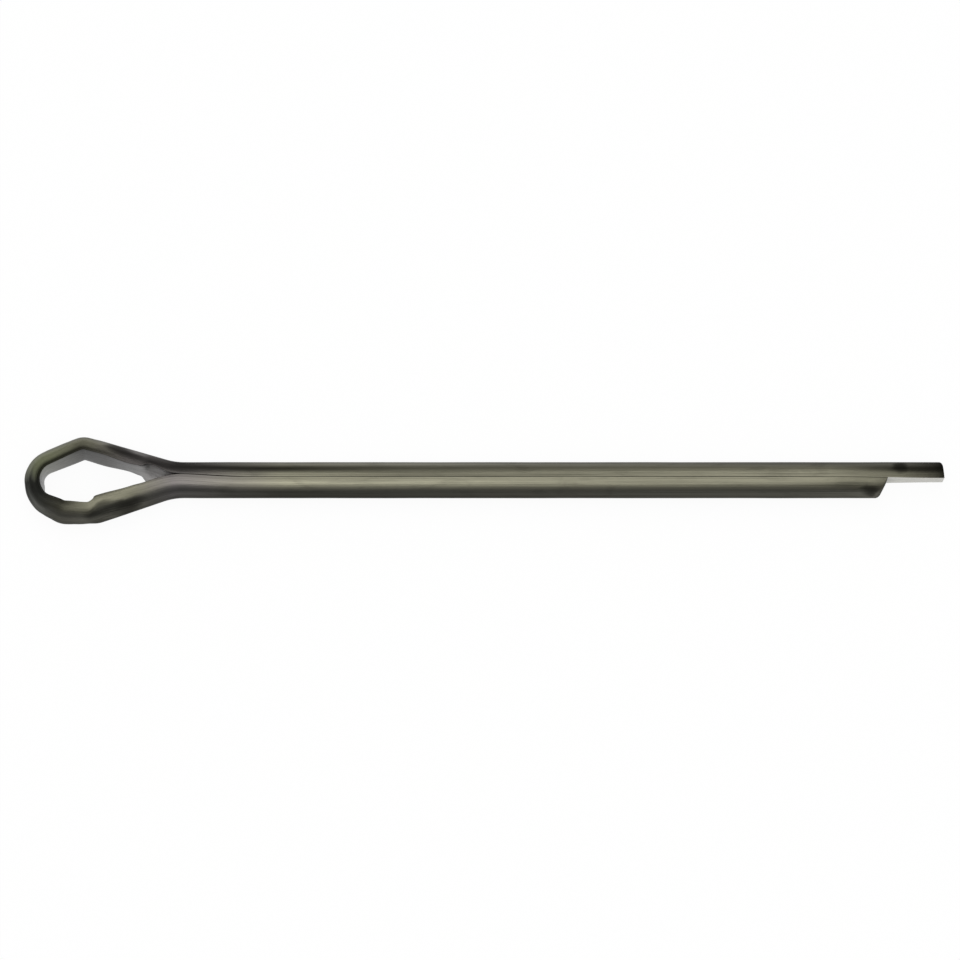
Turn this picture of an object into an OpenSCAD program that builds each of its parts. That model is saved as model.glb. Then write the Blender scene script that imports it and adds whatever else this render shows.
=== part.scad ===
// Cotter pin: one length of half-round steel wire, bent double and closed on itself.
// The two flats lie together as the round shank, and the closed end is an open eye whose
// two sides are bent a little differently. One tine is longer than the other.
// The origin is on the shank's axis, where the straight shank begins at the eye's neck.
// +X runs to the tips, +Y is the side of the long tine, and +Z is square to the eye.

/* [Wire] */
// Diameter of the closed shank, over both half-round tines
shank_d = 4.47; // [3:0.01:6]
// Gap between the flats of the two tines
slit = 0.1; // [0.04:0.01:0.3]
// Width of the broken edge along each side of the flat
edge_break = 0.1; // [0.05:0.01:0.3]
// How much the wire swells all round in a bend
bend_swell = 0.004; // [0.003:0.001:0.02]

/* [Tines] */
// Short tine, from the neck to its end at the flat
short_len = 87; // [20:0.5:150]
// How far the long tine reaches past the short one
overhang = 7; // [2:0.5:15]

/* [Tips] */
// Slant of the short tine's sheared end, away from square
short_slant = 26; // [0:1:35]
// Slant of the long tine's sheared end, away from square
long_slant = 4; // [0:1:35]
// Width of the corner that the shear rolled over on the round side
roll_over = 0.4; // [0.2:0.05:0.8]
// Slant of that rolled-over corner, away from square
roll_slant = 60; // [50:1:70]

/* [Neck] */
// Bend radius of the flats where the tines part into the eye
neck_r = 10; // [6:0.5:14]

/* [Eye, long tine's side] */
// Knee of the eye, behind the neck
knee_back = 12.5; // [11:0.1:14.5]
// Knee's distance from the shank's axis, at the flat
knee_out = 3.3; // [2.4:0.1:4.2]
// Inside bend radius at the knee
knee_r = 0.6; // [0.4:0.1:3]
// Brow of the eye, behind the neck
brow_back = 17.8; // [17:0.1:18.6]
// Brow's distance from the shank's axis, at the flat
brow_out = 1; // [0.2:0.1:1.5]
// Inside bend radius at the brow
brow_r = 1.7; // [0.4:0.1:3]

/* [Eye, short tine's side] */
// Chin of the eye, behind the neck
chin_back = 17.5; // [16.6:0.1:18.4]
// Chin's distance from the shank's axis, at the flat
chin_out = 1.8; // [1.2:0.1:2.2]
// Inside bend radius at the chin
chin_r = 2.1; // [0.4:0.1:3]
// Heel of the eye, behind the neck
heel_back = 14.8; // [14:0.1:15.8]
// Heel's distance from the shank's axis, at the flat
heel_out = 3.4; // [2.9:0.1:3.6]
// Inside bend radius at the heel
heel_r = 1; // [0.4:0.1:3]
// Belly of the eye, behind the neck
belly_back = 11; // [10.4:0.1:12.6]
// Belly's distance from the shank's axis, at the flat
belly_out = 3.3; // [3:0.1:3.7]
// Inside bend radius at the belly
belly_r = 1.4; // [0.4:0.1:3]

/* [Hidden] */
$fn = 96;

// Each straight run reaches this far into the bends at its ends
run_seat = 0.02;
// Most of a run that one bend may take up
room = 0.48;
// Wire drawn past each tip, for the shear to take off
spare = 1;

wire_h = (shank_d - slit) / 2;
long_len = short_len + overhang;

// Corners of the wire's flat, from the long tip round the eye to the short tip: [x, y, radius]
knee = [-knee_back, knee_out, knee_r];
brow = [-brow_back, brow_out, brow_r];
chin = [-chin_back, -chin_out, chin_r];
heel = [-heel_back, -heel_out, heel_r];
belly = [-belly_back, -belly_out, belly_r];
path = [
    [long_len + spare, slit / 2, 0],
    neck(knee, 1),
    knee, brow, chin, heel, belly,
    neck(belly, -1),
    [short_len + spare, -slit / 2, 0]
];
last = len(path) - 1;

// Neck corner on one side, placed so that its bend runs out into the straight shank at x = 0
function neck(next, side) =
    let(
        centre = [-next.x, side * (slit / 2 + neck_r) - next.y],
        arm = atan2(centre.y, centre.x) - side * asin(neck_r / norm(centre))
    )
    [next.x + (side * slit / 2 - next.y) / tan(arm), side * slit / 2, neck_r];

function corner(i) = [path[i].x, path[i].y];
function run_length(i) = norm(corner(i + 1) - corner(i));
function heading(i) = atan2(path[i + 1].y - path[i].y, path[i + 1].x - path[i].x);
function turn(i) = (heading(i) - heading(i - 1) + 540) % 360 - 180;
function direction(angle) = [cos(angle), sin(angle)];

// Bend radius at a corner, held to what the runs on both sides leave room for
function radius(i) =
    min(path[i].z, room * min(run_length(i - 1), run_length(i)) / tan(abs(turn(i)) / 2));
function setback(i) = radius(i) * tan(abs(turn(i)) / 2);

// Half-round section with its flat on x = 0 and its round side towards +X
module section(swell = 0) {
    reach = shank_d / 2 + swell;
    intersection() {
        translate([-slit / 2, 0]) circle(reach);
        translate([-swell, 0]) polygon([
            [0, edge_break - reach],
            [2 * edge_break, -reach - edge_break],
            [shank_d, -reach - edge_break],
            [shank_d, reach + edge_break],
            [2 * edge_break, reach + edge_break],
            [0, reach - edge_break]
        ]);
    }
}

// Straight wire from corner i to the next one, between their bends
module run(i) {
    from = i == 0 ? 0 : setback(i) - run_seat;
    to = run_length(i) - (i + 1 == last ? 0 : setback(i + 1) - run_seat);
    translate(corner(i) + from * direction(heading(i)))
        rotate([90, 0, 90 + heading(i)])
            linear_extrude(to - from)
                mirror([1, 0]) section();
}

// Bend at corner i: the eye's bends have the flat inside, the neck's have it outside
module bend(i) {
    side = sign(turn(i));
    start = corner(i) - setback(i) * direction(heading(i - 1));
    translate(start + radius(i) * direction(heading(i - 1) + 90 * side))
        rotate(heading(i - 1) - 90 * side + min(turn(i), 0))
            rotate_extrude(angle = abs(turn(i)))
                translate([radius(i), 0])
                    mirror([side > 0 ? 0 : 1, 0]) section(bend_swell);
}

// Everything past a square cut at x = 0
module past_cut() {
    block = 2 * shank_d;
    translate([0, -block, -block / 2]) cube([block, 2 * block, block]);
}

// What the shear takes off a tine: a slanted cut, then the corner that it rolled over
module shear(length, side, slant) {
    rolled = wire_h - roll_over;
    translate([length, side * slit / 2, 0])
        rotate(side * slant) past_cut();
    translate([length - rolled * tan(slant), side * (slit / 2 + rolled), 0])
        rotate(side * roll_slant) past_cut();
}

module long_tine() {
    difference() {
        run(0);
        shear(long_len, 1, long_slant);
    }
}

module short_tine() {
    difference() {
        run(last - 1);
        shear(short_len, -1, short_slant);
    }
}

module eye() {
    for (i = [1 : last - 1]) bend(i);
    for (i = [1 : last - 2]) run(i);
}

module cotter_pin() {
    color("#7f7e70") {
        long_tine();
        eye();
        short_tine();
    }
}

cotter_pin();
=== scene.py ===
# Cotter pin: the bent half-round wire with its sheared ends, its dulled steel, and a plain table under it.
import math

import bpy
import numpy as np
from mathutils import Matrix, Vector


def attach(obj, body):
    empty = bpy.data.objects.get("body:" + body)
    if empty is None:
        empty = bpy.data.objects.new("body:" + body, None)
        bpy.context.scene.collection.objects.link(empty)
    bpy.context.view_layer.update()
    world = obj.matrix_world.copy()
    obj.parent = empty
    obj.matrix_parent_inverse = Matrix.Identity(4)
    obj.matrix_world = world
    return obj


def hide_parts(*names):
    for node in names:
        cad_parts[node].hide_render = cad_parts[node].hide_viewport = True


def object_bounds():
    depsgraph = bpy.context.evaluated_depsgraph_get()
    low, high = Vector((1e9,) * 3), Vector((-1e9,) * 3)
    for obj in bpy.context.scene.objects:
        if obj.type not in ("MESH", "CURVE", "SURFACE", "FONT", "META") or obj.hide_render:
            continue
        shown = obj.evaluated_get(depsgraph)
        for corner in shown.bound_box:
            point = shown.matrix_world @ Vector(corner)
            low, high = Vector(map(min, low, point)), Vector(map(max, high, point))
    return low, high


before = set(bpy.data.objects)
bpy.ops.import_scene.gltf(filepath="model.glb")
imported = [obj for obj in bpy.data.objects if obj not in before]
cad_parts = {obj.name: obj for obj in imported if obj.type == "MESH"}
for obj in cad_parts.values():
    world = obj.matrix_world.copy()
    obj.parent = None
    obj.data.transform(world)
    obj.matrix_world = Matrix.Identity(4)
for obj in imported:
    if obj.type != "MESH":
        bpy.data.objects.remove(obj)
solidBox = [list(corner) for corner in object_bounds()]
mm = 0.001
print("frame loaded, solid box in mm:", [[round(v / mm, 2) for v in corner] for corner in solidBox])


# Shader helpers

class Signal:
    # one output socket of a node; arithmetic on it adds Math nodes
    def __init__(self, nodes, socket):
        self.nodes = nodes
        self.socket = socket

    def __add__(self, other):
        return self.nodes.maths("ADD", self, other)

    def __radd__(self, other):
        return self.nodes.maths("ADD", other, self)

    def __sub__(self, other):
        return self.nodes.maths("SUBTRACT", self, other)

    def __rsub__(self, other):
        return self.nodes.maths("SUBTRACT", other, self)

    def __mul__(self, other):
        return self.nodes.maths("MULTIPLY", self, other)

    def __rmul__(self, other):
        return self.nodes.maths("MULTIPLY", other, self)

    def __truediv__(self, other):
        return self.nodes.maths("DIVIDE", self, other)

    def __rtruediv__(self, other):
        return self.nodes.maths("DIVIDE", other, self)


class NodeBook:
    # the node tree of a material or a world, and the few calls that it is written with
    def __init__(self, owner):
        self.owner = owner
        self.owner.use_nodes = True
        self.tree = owner.node_tree
        self.tree.nodes.clear()

    def add(self, kind, settings=None, inputs=None, out=0):
        node = self.tree.nodes.new(kind)
        for key, value in (settings or {}).items():
            if key == "stops":
                self.setStops(node.color_ramp, value)
            else:
                setattr(node, key, value)
        for key, value in (inputs or {}).items():
            if isinstance(value, Signal):
                self.tree.links.new(value.socket, node.inputs[key])
            else:
                node.inputs[key].default_value = value
        return Signal(self, node.outputs[out]) if len(node.outputs) else node

    def setStops(self, ramp, stops):
        while len(ramp.elements) < len(stops):
            ramp.elements.new(1)
        for element, (place, colour) in zip(ramp.elements, stops):
            element.position = place
            element.color = colour

    def maths(self, operation, *terms):
        return self.add("ShaderNodeMath", {"operation": operation}, dict(enumerate(terms)))

    def attribute(self, name):
        return self.add("ShaderNodeAttribute", {"attribute_name": name}, out="Fac")

    def vector(self, x, y, z):
        return self.add("ShaderNodeCombineXYZ", inputs={"X": x, "Y": y, "Z": z})

    def noise(self, place, detail=2.0, rough=0.5, warp=0.0):
        values = {"Vector": place, "Scale": 1.0, "Detail": detail, "Roughness": rough, "Distortion": warp}
        return self.add("ShaderNodeTexNoise", inputs=values)

    def ramp(self, value, stops):
        return self.add("ShaderNodeValToRGB", {"stops": stops}, {"Fac": value})

    def step(self, value, low, high):
        # 0 at low, 1 at high and smooth between; low may also be the larger of the two
        settings = {"interpolation_type": "SMOOTHSTEP"}
        return self.add("ShaderNodeMapRange", settings, {"Value": value, "From Min": low, "From Max": high})

    def blend(self, mask, first, second, way="MIX"):
        settings = {"data_type": "RGBA", "clamp_factor": True, "blend_type": way}
        return self.add("ShaderNodeMix", settings, {0: mask, 6: first, 7: second}, out=2)


# The wire's form, in millimetres as in the solid model

wire = {
    "shankDiameter": 4.468,   # a hair inside the solid's 4.47
    "slit": 0.10,
    "shortLength": 87.0,      # neck to the short tine's end
    "overhang": 7.0,          # what the long tine has more
    "neckRadius": 10.0,
    "eyeCorners": [           # corners of the flat round the eye: back, side, bend radius
        (-12.5, 3.3, 0.6),    # knee
        (-17.8, 1.0, 1.7),    # brow
        (-17.5, -1.8, 2.1),   # chin
        (-14.8, -3.4, 1.0),   # heel
        (-11.0, -3.3, 1.4),   # belly
    ],
    "flatProud": 0.04,        # the flats lie this much nearer each other than in the solid
    "edgeRound": 0.04,        # rounding along both edges of the flat
    "flatCrown": 0.02,        # how much the flats are fuller in the middle
    "shankStep": 0.6,         # longest ring spacing on the tines
    "eyeStep": 0.25,          # longest ring spacing on the eye's straight runs
    "bendStep": 0.14,         # longest ring spacing on a bend, at its round side
    "bendRings": 4,           # fewest rings in a bend
    "crownPoints": 40,
    "flatPoints": 8,
    "edgePoints": 4,
    "wobble": 0.008,          # how far the drawn wire strays from straight
    "wobbleSize": 17.0,       # length of one sway
    "wobbleFade": 6.0,        # the sway dies out over this length at the tips
    "wobbleSeed": 11,
}

roll = {                      # degrees that the forming left the wire rolled about its own length
    "longTip": 5,
    "longTwist": 0,
    "longFade": 0,
    "neckAbove": -10,
    "pinchAbove": -20,
    "holeEnd": -5,
    "upperArm": -2,
    "pastKnee": -7,
    "knee": -6,
    "brow": -2,
    "nose": -5,
    "chin": -2,
    "heel": 9,
    "beforeBelly": 2,
    "pastBelly": 22,
    "lowerArm": 14,
    "pinchBelow": 11,
    "neckBelow": 10,
    "shortFade": 0,
    "shortTwist": 0,
    "shortTip": -2.5,
}

stations = {                  # places along the wire: from which other place, and how many millimetres on
    "longTail": ("longTip", 5.5),
    "longTwist": ("longTip", 14.0),
    "longOuter": ("longNeck", -79.0),
    "longInner": ("longNeck", -27.0),
    "longNear": ("longNeck", -12.0),
    "longFade": ("longNeck", -8.0),
    "pinchAbove": ("neckAbove", 3.2),
    "holeEnd": ("neckAbove", 4.2),
    "pastKnee": ("knee", -2.4),
    "beforeBelly": ("belly", -0.9),
    "pastBelly": ("belly", 0.4),
    "pinchBelow": ("neckBelow", -3.2),
    "shortFade": ("neckBelow", 9.0),
    "shortNear": ("neckBelow", 14.0),
    "shortOuter": ("shortTip", -9.0),
    "shortTwist": ("shortTip", -7.0),
}

halfway = {                   # places in the middle between two others
    "upperArm": ("neckAbove", "knee"),
    "nose": ("brow", "chin"),
    "lowerArm": ("belly", "neckBelow"),
}

tips = {
    "longSlant": 4.0,         # degrees away from a square cut
    "shortSlant": 26.0,
    "rollOver": 0.42,         # rounding where the blade went in, on the round side
    "sharpEdge": 0.03,        # rounding on the flat side, less than the flat's own edgeRound
    "burr": 0.05,             # how far the torn lip stands past the rest
    "tornDepth": 0.035,       # roughness of the torn part of the cut
    "tornSize": 0.5,          # size of its lumps
    "tornSpread": 3.0,        # how quickly the roughness grows from the rim inwards
    "longSeed": 3,
    "shortSeed": 5,
    "rollFalloff": 1.5,       # how quickly the rounding shrinks from the round side to the flat
    "faceMiddle": 0.45,       # where the face's rings close, as a share of the wire's height
    "edgeRings": 6,
    "faceRings": 9,
    "clear": 0.25,            # room between the rounding and the first ring of the tine
    "blend": 3.0,             # length over which the rings lean into the slanted cut
}

toolMarks = {                 # where the bending tools pressed the round side
    "marks": [(-0.9, 1.0, 0.05), (0.0, 1.3, 0.09), (1.1, 0.8, 0.04)],    # offset, length, depth
    "corners": ["knee", "brow", "chin", "heel", "belly"],
    "narrow": 6,              # how closely the marks keep to the middle of the round side
    "swell": 0.05,            # fullness of the flat's middle inside a bend
    "reach": 1.4,             # half length of the strained stretch at a bend
}


def neckCorner(corner, side):
    # the corner of the neck's bend on one side, which ends on the shank at x = 0
    x, y, _ = corner
    radius, half = wire["neckRadius"], wire["slit"] / 2
    across = side * (half + radius) - y
    arm = math.atan2(across, -x) - side * math.asin(radius / math.hypot(x, across))
    return (x + (side * half - y) / math.tan(arm), side * half, radius)


def wirePath():
    # rings along the flat's line, as x, y, heading and distance along, and where each bend's middle is
    half = wire["slit"] / 2
    longLength = wire["shortLength"] + wire["overhang"]
    eye = wire["eyeCorners"]
    corners = [(longLength, half, 0), neckCorner(eye[0], 1), *eye, neckCorner(eye[-1], -1),
               (wire["shortLength"], -half, 0)]
    crown = (wire["shankDiameter"] - wire["slit"]) / 2
    heads = [math.atan2(b[1] - a[1], b[0] - a[0]) for a, b in zip(corners, corners[1:])]
    lengths = [math.dist(a[:2], b[:2]) for a, b in zip(corners, corners[1:])]
    turns = [(b - a + 3 * math.pi) % (2 * math.pi) - math.pi for a, b in zip(heads, heads[1:])]
    turns = [0.0, *turns, 0.0]
    backs = [corner[2] * math.tan(abs(turn) / 2) for corner, turn in zip(corners, turns)]
    last = len(heads) - 1
    rings, middles, along = [], [], 0.0
    for i, head in enumerate(heads):
        ahead = np.array([math.cos(head), math.sin(head)])
        start = np.array(corners[i][:2]) + backs[i] * ahead
        run = lengths[i] - backs[i] - backs[i + 1]
        count = max(1, math.ceil(run / wire["shankStep" if i in (0, last) else "eyeStep"]))
        for k in range(count + (i == last)):
            x, y = start + ahead * run * k / count
            rings.append((x, y, head, along + run * k / count))
        along += run
        if i == last:
            break
        radius, turn = corners[i + 1][2], turns[i + 1]
        side = math.copysign(1, turn)
        centre = start + ahead * run + side * radius * np.array([-math.sin(head), math.cos(head)])
        widest = radius + crown if side > 0 else radius
        count = max(wire["bendRings"], math.ceil(widest * abs(turn) / wire["bendStep"]))
        for k in range(count):
            angle = head + turn * k / count
            x, y = centre - side * radius * np.array([-math.sin(angle), math.cos(angle)])
            rings.append((x, y, angle, along + radius * abs(turn) * k / count))
        middles.append(along + radius * abs(turn) / 2)
        along += radius * abs(turn)
    names = ("neckAbove", "knee", "brow", "chin", "heel", "belly", "neckBelow")
    return rings, dict(zip(names, middles)), along


def wirePlaces(bends, total):
    # how far along the wire each place is that the rolls and the list of wear and painted shading name
    found = {**bends, "longTip": 0.0, "longNeck": wire["shortLength"] + wire["overhang"], "shortTip": total}
    for name, (start, offset) in stations.items():
        found[name] = found[start] + offset
    for name, (first, second) in halfway.items():
        found[name] = (found[first] + found[second]) / 2
    return found


def wireSection():
    # the half-round section: out from the flat, height, outward direction, and 1 on the flat
    radius, half, fillet = wire["shankDiameter"] / 2, wire["slit"] / 2, wire["edgeRound"]
    flat = -wire["flatProud"]
    inner = fillet + flat                        # middle of the edge's rounding
    high = math.sqrt((radius - fillet) ** 2 - (inner + half) ** 2)
    meet = math.atan2(high, inner + half)
    points = []
    for k in range(wire["flatPoints"]):
        level = 2 * k / wire["flatPoints"] - 1
        points.append((flat - wire["flatCrown"] * (1 - level * level), high * level, -1.0, 0.0, 1.0))
    for k in range(wire["edgePoints"]):
        angle = math.pi - (math.pi - meet) * k / wire["edgePoints"]
        c, s = math.cos(angle), math.sin(angle)
        points.append((inner + fillet * c, high + fillet * s, c, s, float(k == 0)))
    for k in range(wire["crownPoints"] + 1):
        angle = meet - 2 * meet * k / wire["crownPoints"]
        c, s = math.cos(angle), math.sin(angle)
        points.append((radius * c - half, radius * s, c, s, 0.0))
    for k in range(1, wire["edgePoints"]):
        angle = -meet - (math.pi - meet) * k / wire["edgePoints"]
        c, s = math.cos(angle), math.sin(angle)
        points.append((inner + fillet * c, -high + fillet * s, c, s, 0.0))
    return np.array(points)


def softNoise(seed, places, size):
    # smooth repeatable noise in -1..1, from a few sines of unrelated pitch
    pitches = (1.0, 1.7, 2.9)
    peak = 1.94                                  # about what the sines can add up to
    fullTurn = 6.3                               # each sine starts somewhere in it
    rng = np.random.default_rng(seed)
    places = np.asarray(places, float).reshape(len(places), -1)
    total = np.zeros(len(places))
    for pitch in pitches:
        direction = rng.normal(size=places.shape[1])
        direction /= np.linalg.norm(direction)
        total += np.sin(places @ direction * 2 * math.pi * pitch / size + rng.uniform(0, fullTurn)) / pitch
    return total / peak


def rollAt(along, places):
    # how far the section is rolled at one place, easing from each listed roll to the next
    spots = [places[name] for name in roll]
    angles = [math.radians(angle) for angle in roll.values()]
    i = min(max(int(np.searchsorted(spots, along)), 1), len(spots) - 1)
    part = (along - spots[i - 1]) / (spots[i] - spots[i - 1])
    part = part * part * (3 - 2 * part)
    return angles[i - 1] + (angles[i] - angles[i - 1]) * part


def bell(along, middle, reach):
    away = (along - middle) / reach
    return math.exp(-away * away)


class WireMesh:
    # collects rings of points and closes them into one skin
    facts = ("along", "outward", "height", "flatSide", "cutFace", "strain")

    def __init__(self, section):
        self.section = section
        self.count = len(section)
        self.points, self.values, self.faces = [], [], []
        self.total = 0

    def lay(self, spot, outward, level, slide, along, angle, cut=0.0, strain=0.0):
        # one ring: spot is x, y and heading, slide moves each point along the wire, angle rolls the ring
        x, y, head = spot
        c, s = math.cos(angle), math.sin(angle)
        reach = outward + wire["slit"] / 2       # from the middle of the shank's circle
        turned = reach * c - level * s - wire["slit"] / 2
        raised = reach * s + level * c
        ahead = np.array([math.cos(head), math.sin(head)])
        aside = np.array([math.sin(head), -math.cos(head)])
        plan = np.array([x, y]) + np.outer(turned, aside) + np.outer(slide, ahead)
        size = len(outward)
        flat = self.section[:, 4] * (1 - cut) if size == self.count else np.zeros(size)
        full = np.ones(size)
        self.points.append(np.column_stack([plan, raised]))
        self.values.append(np.column_stack(
            [full * along, outward, level, flat, full * cut, full * strain]))
        first = self.total
        self.total += size
        return first

    def join(self, first, second):
        for j in range(self.count):
            k = (j + 1) % self.count
            self.faces.append((first + j, first + k, second + k, second + j))

    def close(self, first, middle, flipped):
        for j in range(self.count):
            k = (j + 1) % self.count
            self.faces.append((first + k, first + j, middle) if flipped else (first + j, first + k, middle))

    def build(self, name):
        mesh = bpy.data.meshes.new(name)
        mesh.from_pydata((np.vstack(self.points) * mm).tolist(), [], self.faces)
        values = np.vstack(self.values).astype(np.float32)
        for column, fact in enumerate(self.facts):
            layer = mesh.attributes.new(fact, "FLOAT", "POINT")
            layer.data.foreach_set("value", np.ascontiguousarray(values[:, column]))
        mesh.shade_smooth()
        mesh.update()
        piece = bpy.data.objects.new(name, mesh)
        bpy.context.scene.collection.objects.link(piece)
        return piece


def cutEnd(skin, spot, along, angle, sign, slant, seed):
    # the rounded edge of a sheared end, then its face in shrinking rings; sign is +1 at the path's end
    section = skin.section
    out, height = section[:, 0], section[:, 1]
    crown = out.max()
    rolled = np.clip(out / crown, 0, 1) ** tips["rollFalloff"]
    rounding = tips["sharpEdge"] + (tips["rollOver"] - tips["sharpEdge"]) * rolled
    tilt = math.tan(math.radians(slant))
    firsts = []
    for k in range(tips["edgeRings"] + 1):
        turn = math.pi / 2 * k / tips["edgeRings"]
        inset = rounding * (1 - math.cos(turn))
        o, h = out - section[:, 2] * inset, height - section[:, 3] * inset
        back = o * tilt + rounding * (1 - math.sin(turn)) + tips["burr"]
        firsts.append(skin.lay(spot, o, h, -sign * back, along, angle, cut=k / tips["edgeRings"]))
    middle = np.array([crown * tips["faceMiddle"], 0.0])
    rim = np.column_stack([o, h])
    for k in range(1, tips["faceRings"]):
        flat = middle + (rim - middle) * (1 - k / tips["faceRings"])
        torn = np.clip(1 - flat[:, 0] / crown, 0, 1) * min(1, tips["tornSpread"] * k / tips["faceRings"])
        rough = softNoise(seed, flat, tips["tornSize"]) * tips["tornDepth"] * torn
        back = flat[:, 0] * tilt + tips["burr"] + rough
        firsts.append(skin.lay(spot, flat[:, 0], flat[:, 1], -sign * back, along, angle, cut=1))
    back = middle[0] * tilt + tips["burr"]
    centre = skin.lay(spot, middle[:1], middle[1:], np.array([-sign * back]), along, angle, cut=1)
    return firsts, centre


def makeWire():
    rings, bends, total = wirePath()
    places = wirePlaces(bends, total)
    section = wireSection()
    out, height = section[:, 0], section[:, 1]
    skin = WireMesh(section)
    longRoll, shortRoll = math.radians(roll["longTip"]), math.radians(roll["shortTip"])
    longEnd, longCentre = cutEnd(skin, rings[0][:3], 0, longRoll, -1, tips["longSlant"], tips["longSeed"])
    shortEnd, shortCentre = cutEnd(skin, rings[-1][:3], total, shortRoll, 1, tips["shortSlant"],
                                   tips["shortSeed"])

    def lean(distance, slant):
        # how far each point of a ring slides back, near a slanted end
        weight = max(0.0, 1 - distance / tips["blend"])
        return out * math.tan(math.radians(slant)) * weight * weight * (3 - 2 * weight)

    crownSide = np.clip(section[:, 2], 0, 1) ** toolMarks["narrow"]
    flatSide = section[:, 4] * (1 - (height / height.max()) ** 2)
    body = []
    for x, y, head, along in rings:
        if min(along, total - along) < tips["rollOver"] + tips["clear"]:
            continue                             # the sheared ends have rings of their own
        slide = lean(along, tips["longSlant"]) - lean(total - along, tips["shortSlant"])
        strain = sum(bell(along, bends[name], toolMarks["reach"]) for name in toolMarks["corners"])
        strain = min(1.0, strain)
        depth = sum(deep * bell(along, bends[name] + offset, length / 2)
                    for name in toolMarks["corners"] for offset, length, deep in toolMarks["marks"])
        sunk = out - depth * crownSide - toolMarks["swell"] * strain * flatSide
        sway = softNoise(wire["wobbleSeed"], [along], wire["wobbleSize"])[0]
        stray = wire["wobble"] * sway * min(1, min(along, total - along) / wire["wobbleFade"])
        spot = (x - stray * math.sin(head), y + stray * math.cos(head), head)
        body.append(skin.lay(spot, sunk, height, slide, along, rollAt(along, places), strain=strain))
    order = list(reversed(longEnd)) + body + shortEnd
    for a, b in zip(order, order[1:]):
        skin.join(a, b)
    skin.close(order[0], longCentre, True)
    skin.close(order[-1], shortCentre, False)
    piece = skin.build("pin_wire")
    print("wire:", round(total, 1), "mm long,", len(order), "rings,", len(piece.data.polygons), "faces")
    return piece, places, total


pin, places, wireLength = makeWire()
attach(pin, "root")
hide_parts("cotter_pin")


# Dulled steel, its tones holding wear together with painted highlight and painted shade

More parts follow.
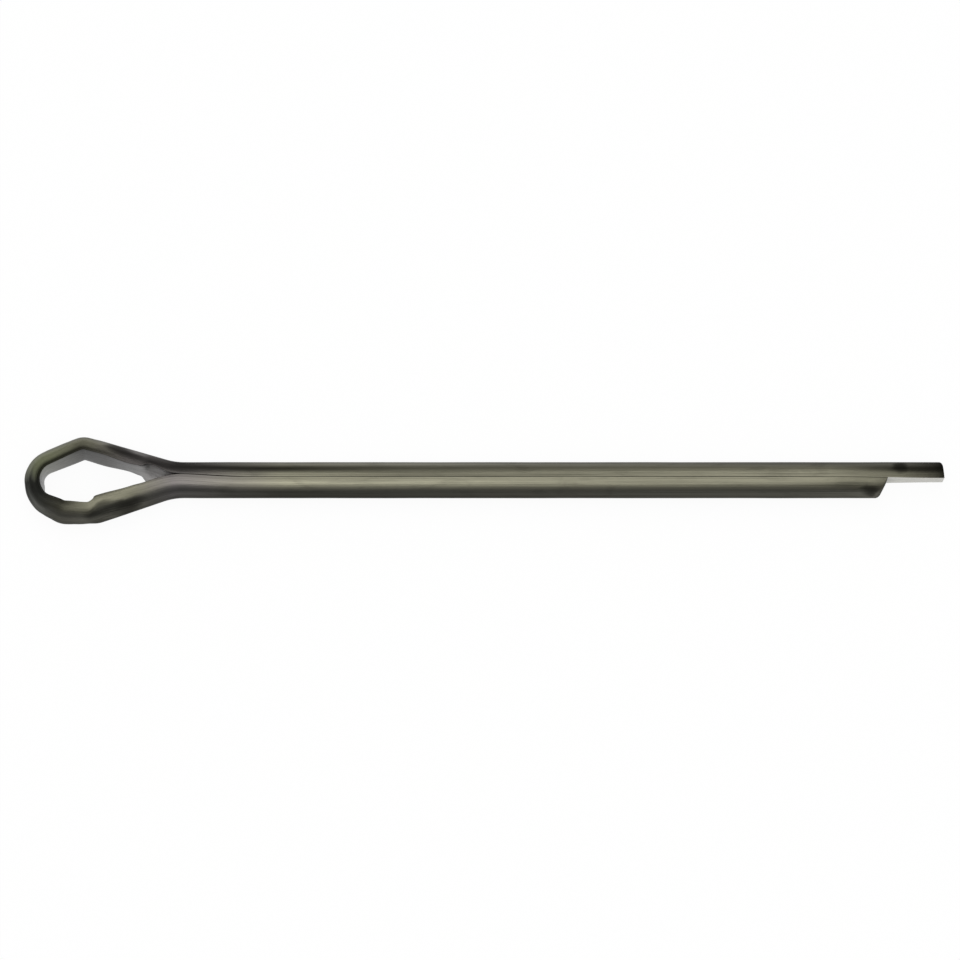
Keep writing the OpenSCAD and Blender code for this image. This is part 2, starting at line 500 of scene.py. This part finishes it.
steel = {
    "grades": {                     # share of the light that each grade gives back, standing for wear and for painted highlight and shade
        "sootAndShade": 0.012,
        "dark": 0.04,
        "dull": 0.08,
        "wornAndShaded": 0.12,
        "bright": 0.25,
        "paintedLight": 0.6,
        "polished": 0.8,
    },
    "tints": {
        "olive": (1.0, 0.965, 0.71),
        "green": (0.93, 1.0, 0.60),
        "plain": (0.97, 1.0, 0.88),
        "mauve": (1.0, 0.92, 0.89),
    },
    "wearAndShading": [                       # place, seam's edge, shoulder, outer side, flat, tint; the side columns hold painted highlight and painted shade besides wear
        ("longTip", "sootAndShade", "sootAndShade", "sootAndShade", "polished", "olive"),
        ("longTail", "dull", "dark", "wornAndShaded", "polished", "olive"),
        # the long tine's shoulders and outer sides are lighter: painted highlight of light falling from
        # that side
        ("longOuter", "wornAndShaded", "bright", "wornAndShaded", "dull", "olive"),
        ("longInner", "dull", "wornAndShaded", "bright", "dull", "olive"),
        ("longNear", "wornAndShaded", "dark", "bright", "dull", "olive"),
        # the neck's flat in the pinch is lightened, painted light against the shade that falls there
        ("neckAbove", "dark", "dark", "dark", "paintedLight", "mauve"),
        ("upperArm", "dark", "wornAndShaded", "bright", "wornAndShaded", "mauve"),
        # knee and brow have lighter outer sides: painted light where little lamp light reaches them
        ("knee", "sootAndShade", "bright", "bright", "dark", "olive"),
        ("brow", "sootAndShade", "bright", "bright", "bright", "green"),
        ("nose", "sootAndShade", "sootAndShade", "sootAndShade", "dull", "plain"),
        ("chin", "sootAndShade", "dark", "wornAndShaded", "dull", "plain"),
        ("heel", "sootAndShade", "dark", "dull", "dull", "olive"),
        ("belly", "wornAndShaded", "wornAndShaded", "wornAndShaded", "dull", "olive"),
        ("lowerArm", "wornAndShaded", "dull", "dull", "dull", "olive"),
        ("neckBelow", "dull", "wornAndShaded", "dull", "dull", "mauve"),
        # the short tine's shoulder is lighter, a painted highlight of the lamp, and its outer side darker,
        # painted shade
        ("shortNear", "wornAndShaded", "bright", "dark", "dull", "olive"),
        ("shortOuter", "wornAndShaded", "wornAndShaded", "dull", "dull", "olive"),
        ("shortTip", "dull", "dull", "wornAndShaded", "dull", "olive"),
    ],
    "smudgesAndShade": [                    # stains and one painted shade: place, offset along, out from the flat, half length, half width, grade
        ("upperArm", 1.5, 1.3, 2.0, 0.7, "sootAndShade"),
        ("upperArm", -0.2, 0.9, 1.8, 0.6, "dark"),
        ("belly", 0.5, 1.5, 2.0, 0.7, "sootAndShade"),
        ("lowerArm", -1.2, 1.7, 2.4, 0.5, "sootAndShade"),
        ("longTail", -0.1, 1.3, 0.9, 0.9, "sootAndShade"),
        # painted shade where the short tine's slanted end rolls over on its round side
        ("shortTip", -1.7, 1.5, 1.6, 0.6, "sootAndShade"),
    ],
    "patchFade": 1.6,              # how far out a patch ends, its half sizes being 1
    "patchRagged": 1.5,            # how much the drawn grain breaks its edge
    "patchStray": 1.2,             # how far blotches push it sideways, in millimetres
    "patchStrength": 0.8,
    "shoulderZone": (0.2, 1.0),     # millimetres from the flat over which the edge turns into the shoulder
    "outerZone": (1.0, 1.8),        # and the shoulder into the outer side
    "wearAndShadingStray": 3.0,               # how far blotches shift the wear and painted shading along the wire, in millimetres
    "flatTint": 0.4,                # how much of the tint the flats have
    "outerTint": 0.6,               # and the outer sides
    "cutGrade": "dull",             # grade of the sheared faces
    "cutZone": (0.7, 1.0),          # part of a sheared end's rounding over which it begins
    "drawnPitch": (0.05, 7.0),      # lumps to a millimetre of the drawn grain, along and across the wire
    "finePitch": (0.12, 24.0),      # of its finest lines
    "blotchPitch": (0.22, 0.6),     # and of the blotches
    "drawnDepth": 0.02,             # millimetres
    "fineDepth": 0.006,
    "strainDepth": 0.03,            # of the unevenness in the bends
    "grime": (0.01, 0.01, 0.008, 1),
    "grimeInGrain": 0.3,            # most that the grime hides there
    "grimeInBlotches": 0.2,
    "grimeOnCuts": 0.3,
    "grainZone": (0.5, 0.75),       # heights of the drawn grain between which the grime sets in
    "blotchZone": (0.5, 0.7),
    "roughness": 0.34,
    "roughSpread": 0.3,             # how far the drawn grain changes it
    "cutRoughness": 0.2,            # what the sheared faces have more
    "grazing": (0.45, 0.45, 0.45, 1),    # how much of the usual glare is left at low angles
    "oilFilm": 0.4,                 # the flats keep a film of oil, which shines at low angles
    "oilRoughness": 0.2,
}


def makeSteel():
    nodes = NodeBook(bpy.data.materials.new("dulledSteel"))
    along = nodes.attribute("along")
    outward = nodes.attribute("outward")
    height = nodes.attribute("height")
    flatSide = nodes.attribute("flatSide")
    cut = nodes.attribute("cutFace")
    strain = nodes.attribute("strain")
    white = (1, 1, 1, 1)
    half = 0.5                                   # middle of a noise

    def grain(pitch, **settings):
        lengthways, crossways = pitch
        spot = nodes.vector(along * lengthways, outward * crossways, height * crossways)
        return nodes.noise(spot, **settings)

    def grade(name):
        return (steel["grades"][name],) * 3 + (1,)

    def alongWire(colours):
        # a colour for each place of the list of wear and painted shading, with blotches straying over the
        # borders
        shares = [places[row[0]] / wireLength for row in steel["wearAndShading"]]
        return nodes.ramp(share, list(zip(shares, colours)))

    # the tone along the wire for one column: wear with painted highlight and shade
    def wornAndShaded(column):
        return alongWire([grade(row[column]) for row in steel["wearAndShading"]])

    drawn = grain(steel["drawnPitch"], detail=3, rough=0.6)
    fine = grain(steel["finePitch"], detail=2)
    blotch = grain(steel["blotchPitch"], detail=4, rough=0.6, warp=0.4)
    stray = blotch - half
    share = (along + stray * steel["wearAndShadingStray"]) / wireLength
    outerSide = nodes.step(outward, *steel["outerZone"])

    # across the section the tone goes from the seam's edge to the shoulder, the outer side and the flat;
    # these bands paint the highlight and the shade of the round wire besides its wear
    tone = nodes.blend(nodes.step(outward, *steel["shoulderZone"]), wornAndShaded(1), wornAndShaded(2))
    tone = nodes.blend(outerSide, tone, wornAndShaded(3))
    tone = nodes.blend(flatSide, tone, wornAndShaded(4))
    # dark patches: stains, and the painted shade at the short tine's end
    for name, offset, middle, length, width, mark in steel["smudgesAndShade"]:
        aside = (outward - middle + stray * steel["patchStray"]) / width
        ahead = (along - (places[name] + offset) + stray * length) / length
        reach = aside * aside + ahead * ahead + (drawn - half) * steel["patchRagged"]
        mask = nodes.step(reach, steel["patchFade"], 0.0) * steel["patchStrength"]
        tone = nodes.blend(mask, tone, grade(mark))
    tone = nodes.blend(nodes.step(cut, *steel["cutZone"]), tone, grade(steel["cutGrade"]))
    tint = alongWire([(*steel["tints"][row[5]], 1) for row in steel["wearAndShading"]])
    tint = nodes.blend(flatSide * (1 - steel["flatTint"]), tint, white)
    tint = nodes.blend(outerSide * (1 - steel["outerTint"]), tint, white)
    colour = nodes.blend(1.0, tint, tone, "MULTIPLY")
    grime = nodes.step(drawn, *steel["grainZone"]) * steel["grimeInGrain"]
    grime = grime + nodes.step(blotch, *steel["blotchZone"]) * steel["grimeInBlotches"]
    grime = grime + cut * steel["grimeOnCuts"]
    colour = nodes.blend(grime, colour, steel["grime"])
    relief = drawn * steel["drawnDepth"] + fine * steel["fineDepth"]
    relief = relief + strain * blotch * steel["strainDepth"]
    bump = nodes.add("ShaderNodeBump", inputs={"Strength": 1.0, "Distance": mm, "Height": relief})
    roughness = steel["roughness"] + (drawn - half) * steel["roughSpread"] + cut * steel["cutRoughness"]
    shader = nodes.add("ShaderNodeBsdfPrincipled", inputs={
        "Base Color": colour,
        "Metallic": 1.0,
        "Roughness": roughness,
        "Specular Tint": steel["grazing"],
        "Coat Weight": flatSide * steel["oilFilm"],
        "Coat Roughness": steel["oilRoughness"],
        "Normal": bump,
    })
    nodes.add("ShaderNodeOutputMaterial", inputs={"Surface": shader})
    return nodes.owner


pin.data.materials.append(makeSteel())
print("steel finished")


# Table, light and camera

studio = {
    "tableHalf": 1.6,
    "tableColour": (0.88, 0.88, 0.875, 1),
    "backgroundShare": 0.94,      # how much of the table is plain white to the camera and in the steel
    "lampSize": (0.55, 2.1),      # across the picture and up the picture
    "lampDistance": 1.25,
    "lampLean": -4.0,             # degrees from straight up, towards the camera
    "lampGlow": 2.5,              # brightness of the lamp's own face
    "skyTop": 0.9,                # brightness of the room straight above
    "skyRim": 0.25,               # and level with the table
}

camera = {
    "tilt": 12.0,              # degrees from straight down, seen from the short tine's side
    "distance": 0.9,
    "pixel": 0.1238,           # millimetres
    "pictureWidth": 960,
    "neckPixel": 184.5,        # where the neck, x = 0, stands in the picture
    "axisPixel": 480.2,        # how far down the picture the shank's axis is
    "sensor": 36.0,
    "near": 0.01,
    "far": 20.0,
}


def makeTable():
    low = solidBox[0][2]
    half = studio["tableHalf"]
    mesh = bpy.data.meshes.new("table")
    corners = [(-half, -half, low), (half, -half, low), (half, half, low), (-half, half, low)]
    mesh.from_pydata(corners, [], [(0, 1, 2, 3)])
    table = bpy.data.objects.new("table", mesh)
    bpy.context.scene.collection.objects.link(table)
    nodes = NodeBook(bpy.data.materials.new("paleTable"))
    paper = nodes.add("ShaderNodeBsdfDiffuse", inputs={"Color": studio["tableColour"]})
    white = nodes.add("ShaderNodeEmission", inputs={"Color": (1, 1, 1, 1), "Strength": 1.0})
    rays = [nodes.add("ShaderNodeLightPath", out=name)
            for name in ("Is Camera Ray", "Is Glossy Ray", "Is Transmission Ray")]
    seen = (rays[0] + rays[1] + rays[2]) * studio["backgroundShare"]
    mixed = nodes.add("ShaderNodeMixShader", inputs={0: seen, 1: paper, 2: white})
    nodes.add("ShaderNodeOutputMaterial", inputs={"Surface": mixed})
    mesh.materials.append(nodes.owner)


def leaning(degrees):
    # direction from the pin, leaning from straight up towards the camera's side
    lean = math.radians(degrees)
    return Vector((0, -math.sin(lean), math.cos(lean)))


def aim(thing, place, target):
    thing.location = place
    thing.rotation_euler = (Vector(target) - Vector(place)).to_track_quat("-Z", "Y").to_euler()


def makeCamera():
    data = bpy.data.cameras.new("camera")
    eye = bpy.data.objects.new("camera", data)
    bpy.context.scene.collection.objects.link(eye)
    middle = camera["pictureWidth"] / 2
    target = Vector(((middle - camera["neckPixel"]) * camera["pixel"] * mm,
                     (camera["axisPixel"] - middle) * camera["pixel"] * mm, 0))
    aim(eye, target + leaning(camera["tilt"]) * camera["distance"], target)
    width = camera["pictureWidth"] * camera["pixel"] * mm
    data.sensor_width = camera["sensor"]
    data.lens = camera["sensor"] * camera["distance"] / width
    data.clip_start = camera["near"]
    data.clip_end = camera["far"]
    bpy.context.scene.camera = eye
    return target


def makeLamp(target):
    data = bpy.data.lights.new("softbox", "AREA")
    data.shape = "RECTANGLE"
    data.size, data.size_y = studio["lampSize"]
    data.energy = studio["lampGlow"] * math.pi * data.size * data.size_y
    lamp = bpy.data.objects.new("softbox", data)
    bpy.context.scene.collection.objects.link(lamp)
    aim(lamp, target + leaning(studio["lampLean"]) * studio["lampDistance"], target)


def makeWorld():
    world = bpy.data.worlds.new("studio")
    bpy.context.scene.world = world
    nodes = NodeBook(world)
    place = nodes.add("ShaderNodeTexCoord", out="Generated")
    up = nodes.add("ShaderNodeSeparateXYZ", inputs={0: place}, out="Z")
    glow = nodes.add("ShaderNodeMapRange", inputs={
        "Value": up,
        "From Min": 0.0,
        "From Max": 1.0,
        "To Min": studio["skyRim"],
        "To Max": studio["skyTop"],
    })
    back = nodes.add("ShaderNodeBackground", inputs={"Color": (1, 1, 1, 1), "Strength": glow})
    nodes.add("ShaderNodeOutputWorld", inputs={"Surface": back})


makeTable()
makeLamp(makeCamera())
makeWorld()
bpy.context.scene.view_settings.view_transform = "Standard"
print("table, light and camera ready")
